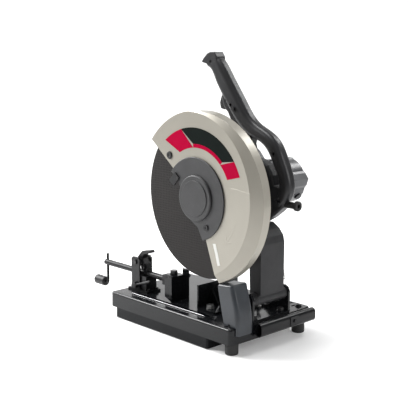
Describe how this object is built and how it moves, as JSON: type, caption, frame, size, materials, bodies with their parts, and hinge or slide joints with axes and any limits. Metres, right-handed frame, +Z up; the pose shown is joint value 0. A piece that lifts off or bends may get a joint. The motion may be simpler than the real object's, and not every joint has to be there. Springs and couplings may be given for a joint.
{
  "type": "abrasive chop saw",
  "caption": "Abrasive chop saw: spring-raised wheel head with guard, motor and D handle on a pressed base with fence, screw vise and spark hood.",
  "frame": {"origin": "bottom centre of the whole saw's bounding box at rest, on the floor plane", "axes": "+Z up, the operator and the vise crank at -Y, the head pivot at +Y, the wheel on the +X side and the motor on the -X side"},
  "size_m": [0.256, 0.623, 0.627],
  "materials": {
    "black_gloss": "gloss",
    "black_satin": "satin",
    "guard_paint": "satin",
    "hood_plastic": "satin",
    "grey_plastic": "matte",
    "black_plastic": "matte",
    "rubber_black": "matte",
    "zinc_steel": "satin",
    "black_steel": "satin",
    "cast_alloy": "satin",
    "abrasive": "matte",
    "spring_steel": "satin",
    "copper_wind": "satin",
    "gear_steel": "satin",
    "carbon": "matte"
  },
  "bodies": {
    "base": {"base_pan": "black_gloss", "spark_trough": "black_gloss", "rubber_feet": "rubber_black", "foot_bolts": "black_steel", "carry_tube": "black_satin", "tube_clip": "black_satin", "pivot_bracket": "black_gloss", "bracket_bolts": "black_steel", "pivot_shaft": "zinc_steel", "pivot_nut": "zinc_steel", "torsion_spring": "spring_steel", "stop_bolt": "zinc_steel", "spark_hood": "hood_plastic", "hood_screws": "zinc_steel", "fence_bolts": "zinc_steel", "vise_bracket": "black_satin", "vise_base_bolts": "black_steel", "claw_pin": "black_steel"},
    "fence_body": {"fence": "black_satin"},
    "claw_body": {"vise_claw": "black_satin"},
    "lock_lever": {"vise_lock_lever": "zinc_steel"},
    "vise_carriage": {"vise_nose": "black_satin"},
    "jaw_body": {"vise_jaw": "black_gloss", "jaw_pin": "black_steel"},
    "screw_body": {"vise_screw": "black_steel", "crank_rod": "black_steel"},
    "knob_body": {"crank_knob": "black_plastic"},
    "head": {"arm": "grey_plastic", "gear_case": "cast_alloy", "bearings": "zinc_steel", "motor_housing": "grey_plastic", "motor_end_cap": "grey_plastic", "brush_caps": "black_plastic", "brushes": "carbon", "stator": "gear_steel", "field_coils": "copper_wind", "handle_near": "grey_plastic", "handle_far": "grey_plastic", "handle_screws": "black_steel", "trigger_pin": "zinc_steel", "switch_block": "black_plastic", "cord_gland": "rubber_black", "guard_shell": "guard_paint", "guard_screws": "zinc_steel", "cover_pivot": "zinc_steel"},
    "cover_body": {"centre_cover": "grey_plastic", "cover_latch": "black_plastic"},
    "trigger_body": {"trigger": "black_plastic"},
    "button_body": {"lock_button": "black_plastic"},
    "spindle_lock_body": {"spindle_lock": "black_plastic"},
    "chain_body": {"lock_chain": "zinc_steel"},
    "wheel_body": {"cutting_wheel": "abrasive", "spindle": "gear_steel", "inner_flange": "zinc_steel", "outer_flange": "zinc_steel", "arbor_bolt": "zinc_steel", "spindle_gear": "gear_steel"},
    "rotor_body": {"armature": "gear_steel", "motor_pinion": "gear_steel", "cooling_fan": "black_plastic"}
  },
  "joints": [
    {"name": "head_chop", "type": "hinge", "parent": "base", "child": "head", "pos_m": [0, 0.22375, 0.104], "axis": [1, 0, 0], "range_deg": [0, 41], "stiffness_Nm_per_rad": 20, "springref_deg": -42.97},
    {"name": "wheel_spin", "type": "hinge", "parent": "head", "child": "wheel_body", "pos_m": [0.094, 0.12775, 0.322], "axis": [1, 0, 0], "continuous": true},
    {"name": "rotor_spin", "type": "hinge", "parent": "head", "child": "rotor_body", "pos_m": [0, 0.18578, 0.34521], "axis": [1, 0, 0], "continuous": true},
    {"name": "cover_swing", "type": "hinge", "parent": "head", "child": "cover_body", "pos_m": [0.117, 0.15975, 0.263], "axis": [-1, 0, 0], "range_deg": [0, 100]},
    {"name": "trigger_pull", "type": "hinge", "parent": "head", "child": "trigger_body", "pos_m": [0, 0.10175, 0.527], "axis": [1, 0, 0], "range_deg": [0, 7], "stiffness_Nm_per_rad": 0.8, "springref_deg": -5.73},
    {"name": "lock_button_press", "type": "slide", "parent": "head", "child": "button_body", "axis": [-1, 0, 0], "range_m": [0, 0.003], "stiffness_N_per_m": 300, "springref_m": -0.001},
    {"name": "spindle_lock_press", "type": "slide", "parent": "head", "child": "spindle_lock_body", "axis": [0, 0, -1], "range_m": [0, 0.003], "stiffness_N_per_m": 400, "springref_m": -0.001},
    {"name": "fence_swivel", "type": "hinge", "parent": "base", "child": "fence_body", "pos_m": [0.06, 0.10975, 0.0603], "axis": [0, 0, -1], "range_deg": [-30, 12]},
    {"name": "vise_travel", "type": "slide", "parent": "base", "child": "vise_carriage", "axis": [0, 1, 0], "range_m": [-0.046, 0.068]},
    {"name": "screw_spin", "type": "hinge", "parent": "vise_carriage", "child": "screw_body", "pos_m": [0.06, -0.04225, 0.103], "axis": [0, 1, 0], "range_deg": [-3312, 4896]},
    {"name": "knob_spin", "type": "hinge", "parent": "screw_body", "child": "knob_body", "pos_m": [0.06, -0.29225, 0.051], "axis": [0, 1, 0], "continuous": true},
    {"name": "jaw_swivel", "type": "hinge", "parent": "vise_carriage", "child": "jaw_body", "pos_m": [0.06, -0.01225, 0.103], "axis": [0, 0, 1], "range_deg": [-15, 15]},
    {"name": "claw_lift", "type": "hinge", "parent": "base", "child": "claw_body", "pos_m": [0.06, -0.13025, 0.131], "axis": [1, 0, 0], "range_deg": [0, 60]},
    {"name": "lock_lever_turn", "type": "hinge", "parent": "base", "child": "lock_lever", "pos_m": [0.084, -0.12825, 0.075], "axis": [1, 0, 0], "range_deg": [0, 60]},
    {"name": "chain_swing", "type": "hinge", "parent": "head", "child": "chain_body", "pos_m": [-0.0425, 0.22675, 0.1765], "axis": [1, 0, 0], "range_deg": [-40, 40]}
  ],
  "couplings": [
    {"joint": "rotor_spin", "follows": "wheel_spin", "ratio": -4},
    {"joint": "screw_spin", "follows": "vise_travel", "rad_per_m": 1256.6}
  ]
}
